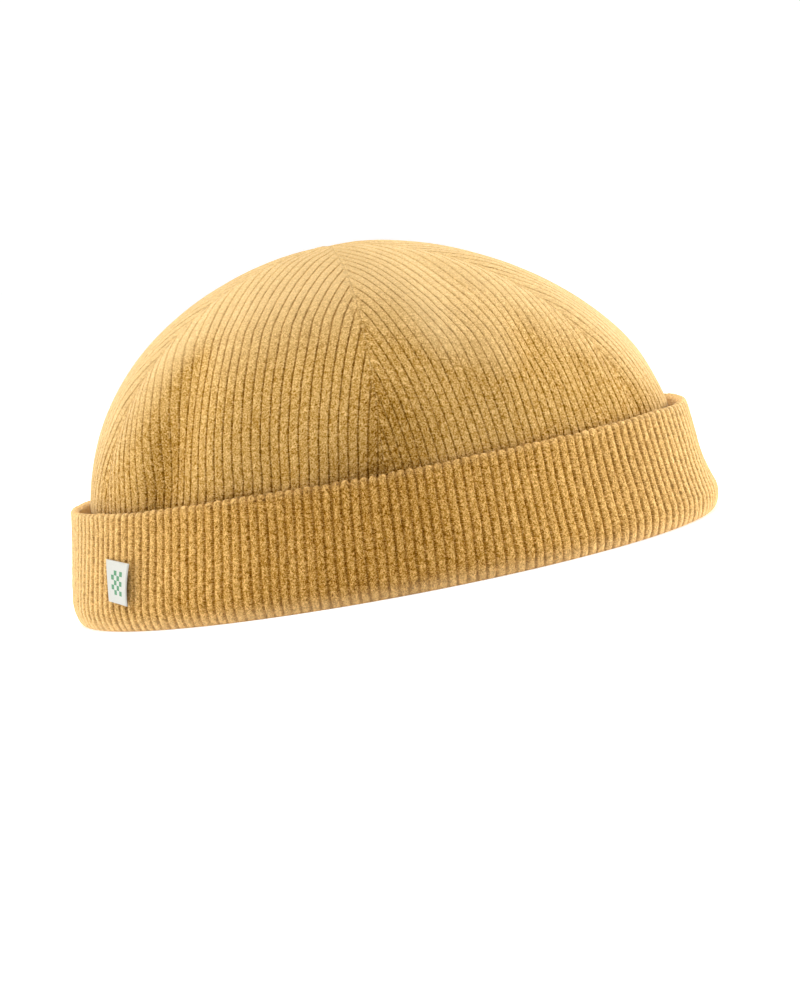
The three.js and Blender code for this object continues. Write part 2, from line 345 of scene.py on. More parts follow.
def crown_dent(share, level):
    """Depth of the crown under its fair surface: the tuck and crease at the seams, and the dents."""
    radius, rise, _, _ = crown_level(level)
    share = share + 0 * radius
    nearest = np.min([girth_distance(share, seam_place(i, rise)) for i in range(len(SEAMS))], axis=0)
    nearest = nearest * GIRTH * radius
    fade = np.minimum(1, radius / SEAM_FADE)
    tuck = SEAM_TUCK * np.exp(-((nearest / SEAM_REACH) ** 2))
    crease = SEAM_CREASE * np.exp(-nearest / SEAM_CREASE_REACH)
    dents = DENT_DEPTH * soft_dent(CROWN_DENTS, share, rise)
    return np.where(level < 0, 0, fade * (tuck + crease) + dents)


# Smooth noise and the wales

def smooth_noise(x, y, seed):
    """Value noise from -1 to 1, one cell to each unit of x and y."""
    table = np.random.default_rng(seed).uniform(-1, 1, (256, 256))
    x0, y0 = np.floor(x).astype(int), np.floor(y).astype(int)
    fx, fy = x - x0, y - y0
    fx, fy = fx * fx * (3 - 2 * fx), fy * fy * (3 - 2 * fy)
    a, b = table[x0 % 256, y0 % 256], table[(x0 + 1) % 256, y0 % 256]
    c, d = table[x0 % 256, (y0 + 1) % 256], table[(x0 + 1) % 256, (y0 + 1) % 256]
    return (a * (1 - fx) + b * fx) * (1 - fy) + (c * (1 - fx) + d * fx) * fy


# How uneven the cloth is: depth, and cell size across and along the wales. Depths are in mm, or in
# shares for pinch, tuft and fill. The first four count across in wales, and the other cells are in
# mm. seam_fading varies along a seam alone, and lip_ripple and lip_wave round the cap alone.
UNEVEN = {
    "pinch": (0.22, 1 / 3.9, 1.5),
    "tuft": (1.0, 1 / 2.6, 1.2),
    "fill": (0.20, 1 / 1.7, 2.2),
    "rank": (0.13, 1 / 0.83, 9),
    "seam_fading": (1.0, 3.1, 1),
    "wander": (0.25, 11, 17),
    "billow": (0.55, 15, 24),
    "ruffle": (0.22, 1.4, 1.7),
    "long_sway": (0.35, GIRTH / 40, 22),
    "short_sway": (0.12, GIRTH / 90, 7),
    "cuff_billow": (0.4, 19, 26),
    "lip_ripple": (0.22, 5.3, 1),
    "lip_wave": (0.25, 31, 1),
}


def uneven(kind, across, along, seed):
    depth, cell_across, cell_along = UNEVEN[kind]
    return depth * smooth_noise(across / cell_across, along / cell_along, seed)


def eased(value):
    """A smooth step from 0 to 1."""
    value = np.clip(value, 0, 1)
    return value * value * (3 - 2 * value)


def wale_relief(phase, wale, along, shape, seed):
    """Depth under the wale tops, in mm."""
    from_valley = phase - np.round(phase)
    edge = np.round(phase + wale)
    pinch = 1 + uneven("pinch", edge, along, seed + 2)
    valley = np.exp(-((from_valley * WALE_PITCH / (shape["spread"] * pinch)) ** 2))
    shoulder = shape["round"] * (1 - 2 * np.abs(from_valley)) ** SHOULDER_POWER
    tuft = shape["tuft"] * uneven("tuft", wale + phase, along, seed + 3)
    fill = VALLEY_FILL + uneven("fill", edge, along, seed + 4)
    rank = uneven("rank", wale, along, seed + 5)
    return shape["depth"] * fill * valley + shoulder - tuft - rank * (1 - valley)


def flattened(facing):
    """How much of the relief is left where the cap turns round its ends."""
    return END_RELIEF + (1 - END_RELIEF) * np.clip(np.abs(facing) / END_FACING, 0, 1)


# Mesh helpers

def mesh_object(name, points, triangles, crease, painted_shade, cloth, period=None):
    """A smooth mesh in metres. It stores how creased each point is, how much painted shade its colour takes,
    and the cloth's own coordinates at each corner: across the wales and along them, in mm. Across starts
    again after a period."""
    mesh = bpy.data.meshes.new(name)
    mesh.vertices.add(len(points))
    mesh.vertices.foreach_set("co", (points * MM).astype(np.float32).ravel())
    mesh.loops.add(len(triangles) * 3)
    mesh.loops.foreach_set("vertex_index", triangles.astype(np.int32).ravel())
    mesh.polygons.add(len(triangles))
    mesh.polygons.foreach_set("loop_start", np.arange(0, len(triangles) * 3, 3, dtype=np.int32))
    mesh.update(calc_edges=True)
    mesh.polygons.foreach_set("use_smooth", np.ones(len(triangles), dtype=bool))
    for attribute, values in (("crease", crease), ("painted_shade", painted_shade)):
        layer = mesh.attributes.new(attribute, "FLOAT", "POINT")
        layer.data.foreach_set("value", values.astype(np.float32))
    corners = cloth[triangles]
    if period:
        across = corners[:, :, 0]
        split = (across.max(axis=1) - across.min(axis=1)) > period / 2
        across[split[:, None] & (across < period / 2)] += period
    layer = mesh.attributes.new("cloth", "FLOAT_VECTOR", "CORNER")
    layer.data.foreach_set("vector", corners.astype(np.float32).ravel())
    mesh.validate()
    thing = bpy.data.objects.new(name, mesh)
    bpy.context.scene.collection.objects.link(thing)
    return thing


def grid_triangles(index):
    """Triangles of a grid of vertex numbers, without those that have shrunk to nothing."""
    a, b = index[:-1, :-1].ravel(), index[:-1, 1:].ravel()
    c, d = index[1:, 1:].ravel(), index[1:, :-1].ravel()
    faces = np.concatenate([np.stack([a, b, c], 1), np.stack([a, c, d], 1)])
    keep = (faces[:, 0] != faces[:, 1]) & (faces[:, 1] != faces[:, 2]) & (faces[:, 2] != faces[:, 0])
    return faces[keep]


def zip_triangles(low, low_key, high, high_key):
    """Triangles of the strip between two rows of vertex numbers with rising keys."""
    faces, a, b = [], 0, 0
    while a < len(low) - 1 or b < len(high) - 1:
        next_low = low_key[a + 1] if a < len(low) - 1 else math.inf
        next_high = high_key[b + 1] if b < len(high) - 1 else math.inf
        if next_low <= next_high:
            faces.append((low[a], low[a + 1], high[b]))
            a += 1
        else:
            faces.append((low[a], high[b + 1], high[b]))
            b += 1
    return np.array(faces)


def drop_unused(points, triangles, *layers):
    """Leaves out the points that no triangle uses."""
    used, triangles = np.unique(triangles, return_inverse=True)
    return points[used], triangles.reshape(-1, 3), *[layer[used] for layer in layers]


# Crown

def crown_levels():
    """Levels of the mesh's rows: a few below the lip, then one every CROWN_ROW up to the apex."""
    level = np.linspace(0, 1, 4001)
    radius, _, height, _ = crown_level(level)
    mean_radius = radius * (HALF_LENGTH + HALF_WIDTH) / 2
    run = np.concatenate([[0], np.cumsum(np.hypot(np.diff(mean_radius), np.diff(height)))])
    last = np.interp(-APEX_PINHOLE, -mean_radius, run)
    rows = np.linspace(0, last, int(last / CROWN_ROW))
    foot = BAND_SEAM_HEIGHT / WAIST_HEIGHT - 1
    hidden = np.linspace(foot, 0, HIDDEN_CROWN_ROWS + 1)[:-1]
    along = np.concatenate([hidden * WAIST_HEIGHT, rows])
    return np.concatenate([hidden, np.interp(rows, run, level)]), along


# Painted shade for the crown's colour; where it is low, the colour is painted paler as light.
def crown_painted_shade(normal, sunk):
    upward = np.clip(normal[..., 2] - UP_START, 0, 1)
    dent = np.clip(sunk / DENT_DEPTH, 0, 1) ** DENT_SHADE_POWER
    swell = np.clip(-sunk / DENT_DEPTH, 0, 1)
    facing = np.clip(FRONT_FACING_SHADE * np.abs(normal[..., 1]) - UPWARD_LIGHT * upward, 0, 1)
    return facing + DENT_SHADE * dent - SWELL_LIGHT * swell


def gore_face(number, levels, along, centre, half, around):
    """The seen side of a gore. Its wales run parallel to its centre line and end at the seams. It gives
    the points, the grid of their numbers, their places across the gore, and the mesh's layers."""
    wales = int(half.max() / WALE_PITCH / GORE_EASE[number]) + SPARE_WALES
    wale = np.repeat(np.arange(-wales, wales), len(CROWN_PHASES))[None, :]
    phase = np.tile(CROWN_PHASES, 2 * wales)[None, :]
    line = (wale + phase + 0.5) * WALE_PITCH * GORE_EASE[number]
    lean = crown_lean(number, line, np.maximum(along, 0))
    line = line + lean
    limit = half - SEAM_MARGIN
    across = np.where(np.abs(line) < limit, line, np.sign(line) * half)
    edge = half - np.abs(across)
    run = along + 0 * across
    near = eased(edge / (SEAM_BLEND + uneven("seam_fading", run, 0 * run, 80 + number)))
    wander = uneven("wander", across + 341 * number, run, 11 + number) * near
    place = centre + (across + wander) / around
    level = levels + 0 * across
    normal = crown_normal(place, level)
    sunk = crown_dent(place, level)

    relief = wale_relief(phase + 0 * across, wale + 0 * across, run, CROWN_VALLEY, 100 + 10 * number)
    relief = relief * (SEAM_RELIEF + (1 - SEAM_RELIEF) * near) * flattened(normal[..., 1])
    ruffle = RUFFLE_DEPTH + uneven("ruffle", across + 7 * number, run, 140 + number)
    joined = np.clip(edge / SEAM_LINE_WIDTH, 0, 1)
    depth = (relief + (1 - near) * ruffle) * joined + SEAM_LINE_DEPTH * (1 - joined)
    billow = uneven("billow", across + 135 * number, run, 60 + number) * np.clip(edge / BILLOW_FADE, 0, 1)
    depth = depth + billow * (level > 0) + sunk
    points = crown_fair(place, level) - normal * depth[..., None]

    first = np.argmax(line > -limit, axis=1) - 1
    last = across.shape[1] - np.argmax(line[:, ::-1] < limit, axis=1)
    columns = np.clip(np.arange(across.shape[1])[None, :], first[:, None], last[:, None])
    index = np.take_along_axis(np.arange(across.size).reshape(across.shape), columns, axis=1)

    crease = WORN_SEAM * np.exp(-edge / WORN_SEAM_REACH)
    cloth = np.stack([(across - lean) / GORE_EASE[number], run, 0 * run], axis=-1)
    return points, index, across, crease, crown_painted_shade(normal, sunk), cloth


def gore_lining(levels, along, centre, half, around):
    """The inner side of a gore, thicker where the seams' allowances are turned in."""
    across = np.linspace(-1, 1, LINING_COLUMNS)[None, :] * half
    place = centre + across / around
    level = levels + 0 * across
    from_seam = half - np.abs(across)
    turning = TURNING_ALLOWANCE / (1 + np.exp((from_seam - TURNING_WIDTH) * TURNING_STEEPNESS))
    depth = CROWN_LINING + turning + crown_dent(place, level)
    points = crown_fair(place, level) - crown_normal(place, level) * depth[..., None]
    return points, across, np.stack([across, along + 0 * across, 1 + 0 * across], axis=-1)


def gore(number):
    """One sewn gore, closed along its seams, its foot and its tip. Its flat size and area come with it."""
    levels, along = (values[:, None] for values in crown_levels())
    radius, rise = crown_level(levels)[:2]
    start = seam_place(number, rise)
    share = (seam_place((number + 1) % len(SEAMS), rise) - start) % 1
    centre = start + share / 2
    around = GIRTH * radius
    half = (share * around - SEAM_GAP) / 2
    outer, index, across, crease, painted_shade, cloth = gore_face(number, levels, along, centre, half, around)
    inner, inner_across, inner_cloth = gore_lining(levels, along, centre, half, around)
    inner_index = across.size + np.arange(inner_across.size).reshape(inner_across.shape)

    left = np.stack([inner_index[:, 0], index[:, 0]], axis=1)
    right = np.stack([index[:, -1], inner_index[:, -1]], axis=1)
    faces = [grid_triangles(grid) for grid in (index, inner_index[:, ::-1], left, right)]
    for row, flip in ((0, False), (-1, True)):
        outer_row, seen = np.unique(index[row], return_index=True)
        strip = zip_triangles(inner_index[row], inner_across[row], outer_row, across[row][seen])
        faces.append(strip[:, ::-1] if flip else strip)
    points = np.concatenate([outer.reshape(-1, 3), inner.reshape(-1, 3)])
    crease = np.concatenate([crease.ravel(), np.zeros(inner_across.size)])
    painted_shade = np.concatenate([painted_shade.ravel(), np.ones(inner_across.size)])
    cloth = np.concatenate([cloth.reshape(-1, 3), inner_cloth.reshape(-1, 3)])
    cloth[:, 0] += WALES_TO_A_GORE * WALE_PITCH * number
    points, triangles, crease, painted_shade, cloth = drop_unused(points, np.concatenate(faces), crease, painted_shade, cloth)
    piece = mesh_object(f"gore_{number + 1}", points, triangles, crease, painted_shade, cloth)
    flat_area = np.trapz(2 * half[:, 0], along[:, 0]) * MM * MM
    return piece, (2 * half.max() * MM, float(along[-1, 0] - along[0, 0]) * MM), float(flat_area)


# Cuff

def cuff_section():
    """The cuff's section as a closed loop with evenly spaced rows, and each row's outward normal."""
    def line(a, b, step):
        steps = max(1, round(math.dist(a, b) / step))
        return [(a[0] + (b[0] - a[0]) * i / steps, a[1] + (b[1] - a[1]) * i / steps) for i in range(steps)]

    def arc(centre, rx, ry, start, stop, step):
        steps = max(2, round(abs(stop - start) * (rx + ry) / 2 / step))
        turns = [start + (stop - start) * i / steps for i in range(steps)]
        return [(centre[0] + rx * math.cos(t), centre[1] + ry * math.sin(t)) for t in turns]

    lip_x = LIP_STANDOFF - LIP_RADIUS
    out_low, out_high = (FOLD_STANDOFF, FOLD_RISE), (LIP_STANDOFF, LIP_CENTRE_HEIGHT)
    in_high, in_low = (LIP_STANDOFF - CUFF_CLOTH, LIP_CENTRE_HEIGHT), (FOLD_STANDOFF - CUFF_CLOTH, FOLD_RISE)
    gap_centre = (FOLD_STANDOFF - CUFF_CLOTH - FOLD_GAP / 2, FOLD_RISE)
    gap_in = (FOLD_STANDOFF - CUFF_CLOTH - FOLD_GAP, FOLD_RISE)
    head = wall_standoff(BAND_SEAM_HEIGHT) - CROWN_CLOTH
    top_out, top_in = (head + CUFF_CLOTH, BAND_SEAM_HEIGHT), (head, BAND_SEAM_HEIGHT)
    head_low = (FOLD_STANDOFF - FOLD_WIDTH, FOLD_RISE)
    foot_out = (FOLD_STANDOFF - FOLD_SOFT, 0)
    foot_in = (foot_out[0] - FOOT_WIDTH, 0)
    part_in = tuple(a + (b - a) * SEEN_INSIDE for a, b in zip(in_high, in_low))
    fine = line(foot_in, foot_out, CUFF_ROW)
    fine += arc((foot_out[0], FOLD_RISE), FOLD_SOFT, FOLD_RISE, -math.pi / 2, 0, CUFF_ROW)
    fine += line(out_low, out_high, CUFF_ROW)
    fine += arc((lip_x, LIP_CENTRE_HEIGHT), LIP_RADIUS, LIP_RADIUS, 0, math.pi, LIP_ROW)
    fine += line(in_high, part_in, CUFF_ROW)
    coarse = line(part_in, in_low, HIDDEN_ROW)
    coarse += arc(gap_centre, FOLD_GAP / 2, FOLD_GAP, 0, -math.pi, GAP_ROW)
    coarse += line(gap_in, top_out, HIDDEN_ROW)
    coarse += line(top_out, top_in, HIDDEN_ROW)
    coarse += line(top_in, head_low, HEAD_ROW)
    coarse += arc((foot_in[0], FOLD_RISE), FOLD_SOFT, FOLD_RISE, math.pi, 1.5 * math.pi, INNER_FOLD_ROW)
    section = np.array(fine + coarse)
    step = np.roll(section, -1, axis=0) - np.roll(section, 1, axis=0)
    normal = np.stack([step[:, 1], -step[:, 0]], axis=1)
    normal /= np.linalg.norm(normal, axis=1, keepdims=True)
    return section, normal, len(fine)


def halving_triangles(fine, coarse, flip):
    """The strip between a row and one with every second column."""
    left, middle, right = fine[:-1:2], fine[1::2], fine[2::2]
    near, far = coarse[:-1], coarse[1:]
    faces = np.concatenate([np.stack([left, middle, near], 1), np.stack([middle, right, far], 1),
                            np.stack([middle, far, near], 1)])
    return faces[:, ::-1] if flip else faces


def ellipse_length(a, b):
    h = ((a - b) / (a + b)) ** 2
    return math.pi * (a + b) * (1 + 3 * h / (10 + math.sqrt(4 - 3 * h)))


def cuff():
    """The turned-up band: one closed ring with wales all round its section."""
    section, normal, fine_rows = cuff_section()
    rows = len(section)
    row = np.arange(rows)[:, None]
    wales = round(ellipse_length(HALF_LENGTH + LIP_STANDOFF, HALF_WIDTH + LIP_STANDOFF) / WALE_PITCH)
    wale = np.repeat(np.arange(wales), len(CUFF_PHASES))[None, :]
    phase = np.tile(CUFF_PHASES, wales)[None, :]
    share = (wale + phase) / wales + np.zeros((rows, 1))
    out, height = section[:, :1], section[:, 1:]
    step = np.linalg.norm(np.diff(section, axis=0), axis=1)
    along = np.concatenate([[0], np.cumsum(step)])[:, None] + 0 * share
    sway = uneven("long_sway", share * GIRTH, along, 7) + uneven("short_sway", share * GIRTH, along, 8)
    share = share + (sway + CUFF_LEAN * (height - CUFF_HEIGHT / 2)) / GIRTH
    run = share * GIRTH

    lean_in = (LIP_STANDOFF - FOLD_STANDOFF) * height / CUFF_HEIGHT
    between_legs = FOLD_STANDOFF - CUFF_CLOTH - FOLD_GAP / 2 + lean_in
    turned_up = (row < rows * LEG_ROWS) & (out > between_legs)
    lifted = np.clip(height / FOLD_RISE, 0, 1) * turned_up
    sunk = CUFF_DENT_DEPTH * soft_dent(CUFF_DENTS, share, height / CUFF_HEIGHT)
    sunk = (sunk + uneven("cuff_billow", run, height, 61)) * lifted

    lip = np.exp(-((CUFF_HEIGHT - height) / LIP_REACH) ** 2)
    foot = np.exp(-(height / FOOT_REACH) ** 2)
    outside = np.clip((fine_rows - WALES_END - row) / WALES_FADE, 0, 1)
    x, y, nx, ny = girth_point(share)
    relief = wale_relief(phase + 0 * share, wale + 0 * share, along, CUFF_VALLEY, 40)
    relief = relief * np.clip(height / FOOT_FLAT, 0, 1) * (1 - LIP_SMOOTHING * lip) * outside * flattened(ny)
    caps = LIP_CAPS * (1 - 2 * np.abs(phase - np.round(phase))) ** 2
    waves = uneven("lip_ripple", run, 0 * run, 62) + uneven("lip_wave", run, 0 * run, 63)
    relief = relief + lip * (caps + waves)
    standoff = out - sunk - normal[:, :1] * relief
    points = np.stack([x + nx * standoff, y + ny * standoff, height - normal[:, 1:] * relief], axis=-1)

    columns = wale.size
    index = np.arange(rows * columns).reshape(rows, columns)
    closed = np.concatenate([index, index[:, :1]], axis=1)
    coarse = closed[fine_rows:, ::2]
    faces = [grid_triangles(closed[:fine_rows]), grid_triangles(coarse),
             halving_triangles(closed[fine_rows - 1], coarse[0], False),
             halving_triangles(closed[0], coarse[-1], True)]

    across = (wale + phase + 0.5) * WALE_PITCH + 0 * share
    reverse_and_foot_light = np.clip((row - fine_rows + REVERSE_START) / REVERSE_BLEND, 0, 1)
    # Painted light: paler towards the foot, standing in for light from below, and a little paler along the
    # lip.
    reverse_and_foot_light = np.maximum(reverse_and_foot_light, np.maximum(FOOT_PAINTED_LIGHT * foot, LIP_PALING * lip)) + 0 * share
    crease = EDGE_CREASE * np.maximum(lip, foot) + 0 * share
    # Painted shade for the cuff's colour: more where it faces the front or the back, more still over the
    # front's middle.
    painted_shade = np.abs(ny) + FRONT_BAND_SHADE * np.exp(-(((x - FRONT_BAND_SHADE_MIDDLE) / FRONT_BAND_SHADE_REACH) ** 2))
    cloth = np.stack([across, along, reverse_and_foot_light], axis=-1).reshape(-1, 3)
    kept = drop_unused(points.reshape(-1, 3), np.concatenate(faces), crease.ravel(), painted_shade.ravel(), cloth)
    return mesh_object("turned_up_cuff", *kept, wales * WALE_PITCH)


# Label

def label():
    """A woven tag, sewn flat at its left edge and curling off the cuff at its right."""
    columns, rows = LABEL_GRID
    across, up = np.meshgrid(np.linspace(0, 1, columns), np.linspace(0, 1, rows))
    low_left, low_right, high_right, high_left = np.array(LABEL_CORNERS)[:, :, None, None]
    share, height = ((low_left * (1 - across) + low_right * across) * (1 - up)
                     + (high_left * (1 - across) + high_right * across) * up)
    lift = LABEL_LIFT * across**2 * (1 - LABEL_CORNER_DROP * (1 - np.sin(math.pi * up)))
    rise = (height - FOLD_RISE) / (LIP_CENTRE_HEIGHT - FOLD_RISE)
    face = FOLD_STANDOFF + (LIP_STANDOFF - FOLD_STANDOFF) * rise
    seat = face - CUFF_DENT_DEPTH * soft_dent(CUFF_DENTS, share, height / CUFF_HEIGHT) + LABEL_SEAT
    from_edge = np.minimum(np.minimum(across, 1 - across) * LABEL_WIDTH,
                           np.minimum(up, 1 - up) * LABEL_HEIGHT)
    rounding = 1 - np.clip(from_edge / LABEL_EDGE, 0, 1)
    soft = LABEL_CLOTH / 2 * (1 - np.sqrt(1 - rounding**2))
    x, y, nx, ny = girth_point(share)
    points = np.concatenate([np.stack([x + nx * standoff, y + ny * standoff, height], axis=-1).reshape(-1, 3)
                             for standoff in (seat + lift + LABEL_CLOTH - soft, seat + lift + soft)])
    front = np.arange(rows * columns).reshape(rows, columns)
    back = front + rows * columns
    rims = [np.concatenate([side[0], side[1:, -1], side[-1, -2::-1], side[-2:0:-1, 0], side[0, :1]])
            for side in (back, front)]
    faces = [grid_triangles(grid) for grid in (front, back[:, ::-1], np.stack(rims))]
    cloth = np.stack([across * LABEL_WIDTH, up * LABEL_HEIGHT, 0 * up], axis=-1).reshape(-1, 3)
    none = np.zeros(len(points))
    return mesh_object("tag", points, np.concatenate(faces), none, none, np.concatenate([cloth, cloth]))


# Materials

class Graph:
    """A node tree, and the few kinds of node that the materials and the surround are made of."""

    def __init__(self, tree):
        self.nodes, self.links = tree.nodes, tree.links

    def put(self, socket, value):
        """A socket takes a fixed value or the output of another node."""
        if isinstance(value, bpy.types.NodeSocket):
            self.links.new(value, socket)
        else:
            socket.default_value = value

    def add(self, kind, inputs=None, output=0, **settings):
        node = self.nodes.new(kind)
        for name, value in settings.items():
            setattr(node, name, value)
        for socket, value in (inputs or {}).items():
            self.put(node.inputs[socket], value)
        return node.outputs[output]

    def attribute(self, name, output="Fac"):
        return self.add("ShaderNodeAttribute", output=output, attribute_name=name)

    def split(self, vector):
        node = self.nodes.new("ShaderNodeSeparateXYZ")
        self.links.new(vector, node.inputs[0])
        return node.outputs["X"], node.outputs["Y"], node.outputs["Z"]

    def scaled(self, vector, across, along):
        return self.add("ShaderNodeVectorMath", {0: vector, 1: (across, along, 1.0)}, operation="MULTIPLY")

    def noise(self, vector, scale, detail=2.0, roughness=0.5):
        inputs = {"Vector": vector, "Scale": scale, "Detail": detail, "Roughness": roughness}
        return self.add("ShaderNodeTexNoise", inputs, "Fac")

    def cells(self, vector, channel):
        """Flat cells, one to a unit, each of one random grey."""
        inputs = {"Vector": vector, "Scale": 1.0}
        colour = self.add("ShaderNodeTexVoronoi", inputs, "Color", voronoi_dimensions="2D")
        return self.add("ShaderNodeSeparateColor", {0: colour}, channel)

    def calc(self, operation, *values):
        return self.add("ShaderNodeMath", dict(enumerate(values)), operation=operation)

    def total(self, first, *others):
        for value in others:
            first = self.calc("ADD", first, value)
        return first

    def product(self, first, *others):
        for value in others:
            first = self.calc("MULTIPLY", first, value)
        return first

    def ramp(self, value, low, high, to_low=0.0, to_high=1.0):
        inputs = {"Value": value, "From Min": low, "From Max": high, "To Min": to_low, "To Max": to_high}
        return self.add("ShaderNodeMapRange", inputs, "Result")

    def mix(self, factor, a, b):
        """A blend of two colours. The mix node's colour sockets are its seventh, eighth and third."""
        return self.add("ShaderNodeMix", {0: factor, 6: a, 7: b}, 2, data_type="RGBA")

    def shades(self, value, stops):
        node = self.nodes.new("ShaderNodeValToRGB")
        for place, _ in stops[1:-1]:
            node.color_ramp.elements.new(place)
        for element, (place, shade) in zip(node.color_ramp.elements, stops):
            element.position, element.color = place, (*shade, 1)
        self.links.new(value, node.inputs["Fac"])
        return node.outputs["Color"]

    def bump(self, height, strength, distance):
        inputs = {"Height": height, "Strength": strength, "Distance": distance}
        return self.add("ShaderNodeBump", inputs)


def new_material(name):
    """A material, its graph and a call that sets its shader's sockets."""
    material = bpy.data.materials.new(name)
    material.use_nodes = True
    graph = Graph(material.node_tree)
    shader = material.node_tree.nodes["Principled BSDF"]

    def shade(sockets):
        for socket, value in sockets.items():
            graph.put(shader.inputs[socket], value)

    return material, graph, shade


# The pile's patterns: cells to the millimetre across and along the wales, detail and roughness.
PILE = (1.2, 1.0, 2.0, 0.65)
TUFTS = (0.75, 0.6, 1.0, 0.5)
PATCHES = (0.085, 0.06, 2.0, 0.5)
DASHES = (0.31, 0.95, 1.0, 0.5)
COARSE_SPECKS = (2.6, 2.3)
FINE_SPECKS = (3.7, 3.3)
GROUND_THREADS = 10.3
THREAD_STRAY = 9.0
RAGGED_VALLEY = 0.3

# The pile's colours: a paler one painted as light where the cloth turns to the ends and the top, its paler
# reverse, lightened further as painted light and also painted along the cuff's foot as light from below, and
# its sheen on the tops and in the valleys.
PAINTED_LIGHT_PALE = (0.71, 0.505, 0.245, 1)
REVERSE_SIDE_AND_PAINTED_LIGHT = (0.92, 0.67, 0.35, 1)
TOP_SHEEN = (1, 0.92, 0.74, 1)
VALLEY_SHEEN = (0.25, 0.115, 0.012, 1)

# Shades of the dyed pile, from the ground in the valleys to the lit tips: place on the ramp and colour.
# The crown's copy is painted dimmer than the cuff's: painted shade that tones the crown down.
CROWN_SHADES_DIMMED = [(0.0, (0.12, 0.04, 0.001)), (0.16, (0.255, 0.118, 0.009)), (0.33, (0.385, 0.208, 0.04)),
        (0.54, (0.53, 0.322, 0.102)), (0.80, (0.73, 0.475, 0.184)), (1.0, (0.90, 0.61, 0.265))]
OCHRE = [(0.0, (0.12, 0.035, 0.001)), (0.16, (0.256, 0.113, 0.0075)), (0.33, (0.402, 0.208, 0.040)),
         (0.54, (0.585, 0.342, 0.102)), (0.80, (0.823, 0.51, 0.176)), (1.0, (1.0, 0.65, 0.253))]


def corduroy(name, stops, valley_width, front_valley_darkness, side_valley_darkness, turned):
    """Cut pile: grainy tufts on the wales, brushed patches, and broken brown ground in the valleys, darkened
    further by painted shade. The valleys' darkness is given where the cloth faces the front and where it
    turns to the sides. Where the painted shade value is under the one called turned the pile is painted
    paler as light."""
    material, graph, shade = new_material(name)
    calc, total, product, ramp = graph.calc, graph.total, graph.product, graph.ramp
    cloth = graph.attribute("cloth", "Vector")
    crease, painted_shade = graph.attribute("crease"), graph.attribute("painted_shade")
    across, along, reverse_and_lit_foot = graph.split(cloth)

    def pattern(cells_across, cells_along, detail, roughness):
        return graph.noise(graph.scaled(cloth, cells_across, cells_along), 1.0, detail, roughness)

    pile, tuft, patch, dash = pattern(*PILE), pattern(*TUFTS), pattern(*PATCHES), pattern(*DASHES)
    speck = total(product(graph.cells(graph.scaled(cloth, *COARSE_SPECKS), "Red"), 0.5),
                  product(graph.cells(graph.scaled(cloth, *FINE_SPECKS), "Green"), 0.5))

    wale = calc("FRACT", calc("DIVIDE", across, WALE_PITCH))
    distance = product(calc("ABSOLUTE", calc("SUBTRACT", wale, 0.5)), WALE_PITCH)
    ragged = total(distance, ramp(pile, 0.3, 0.7, -RAGGED_VALLEY, RAGGED_VALLEY))
    thread = calc("SINE", total(product(along, GROUND_THREADS), product(tuft, THREAD_STRAY)))
    valley = product(ramp(ragged, valley_width * 1.3, valley_width * 0.6),
                     ramp(dash, 0.36, 0.6, 0.30, 1.0), ramp(thread, -1.0, 1.0, 0.25, 1.0))
    valley_ground_and_shade = product(ramp(crease, 0.2, 0.45, 1.0, 0.1), ramp(painted_shade, 0.05, 0.7, 0.42, 1.0),
                   ramp(painted_shade, 0.75, 1.0, side_valley_darkness, front_valley_darkness))

    grain = total(product(speck, 1.2), product(ramp(pile, 0.38, 0.62), 0.10), -0.65)
    grain = total(product(grain, ramp(painted_shade, 0.05, 0.90, 1.15, 1.0)), 0.5)
    # Painted shade: the tone darkens where the painted shade value is over 0.95, in dents and over the
    # cuff's front.
    tone = total(product(grain, 0.66), product(ramp(tuft, 0.35, 0.65), 0.10),
                 product(ramp(patch, 0.35, 0.65), 0.05), 0.085,
                 product(crease, ramp(tuft, 0.35, 0.65, -0.3, 0.2)), ramp(painted_shade, 0.95, 1.45, 0.0, -0.12))
    # Painted shade: the valleys darken towards the brown ground, most where the cloth faces the front and
    # back.
    tone = product(tone, calc("SUBTRACT", 1.0, product(valley, valley_ground_and_shade)))
    # Painted light: the pile is mixed towards a paler colour where the painted shade value is low, at the
    # ends and top.
    colour = graph.mix(ramp(painted_shade, turned, 0.10, 0.0, 0.62), graph.shades(tone, stops), PAINTED_LIGHT_PALE)
    # The reverse's colour, lightened as painted light, is also painted along the cuff's foot as light from
    # below.
    colour = graph.mix(reverse_and_lit_foot, colour, REVERSE_SIDE_AND_PAINTED_LIGHT)
    top = product(ramp(distance, valley_width, valley_width + 0.6), ramp(grain, 0.0, 0.8, 0.4, 1.0))
    fuzz = calc("MAXIMUM", calc("SUBTRACT", 1.0, top), crease)
    height = total(product(pile, 0.4), product(tuft, 0.12), product(speck, 0.05), product(valley, -0.1))
    shade({
        "Base Color": colour,
        "Roughness": 0.9,
        "Specular IOR Level": 0.0,
        "Sheen Weight": 0.55,
        "Sheen Roughness": 0.32,
        "Sheen Tint": graph.mix(fuzz, TOP_SHEEN, VALLEY_SHEEN),
        "Normal": graph.bump(height, 1.0, 0.0012),
    })
    return material


# The tag's weave: cell and half size of the chequer in its middle, in mm, and its colours.
CHEQUER_CELL = 1.6
CHEQUER_HALF = (3.2, 4.0)
TAG_DARK_WHITE = (0.40, 0.40, 0.365, 1)
TAG_WHITE = (0.52, 0.52, 0.475, 1)
TAG_GREEN = (0.05, 0.20, 0.09, 1)


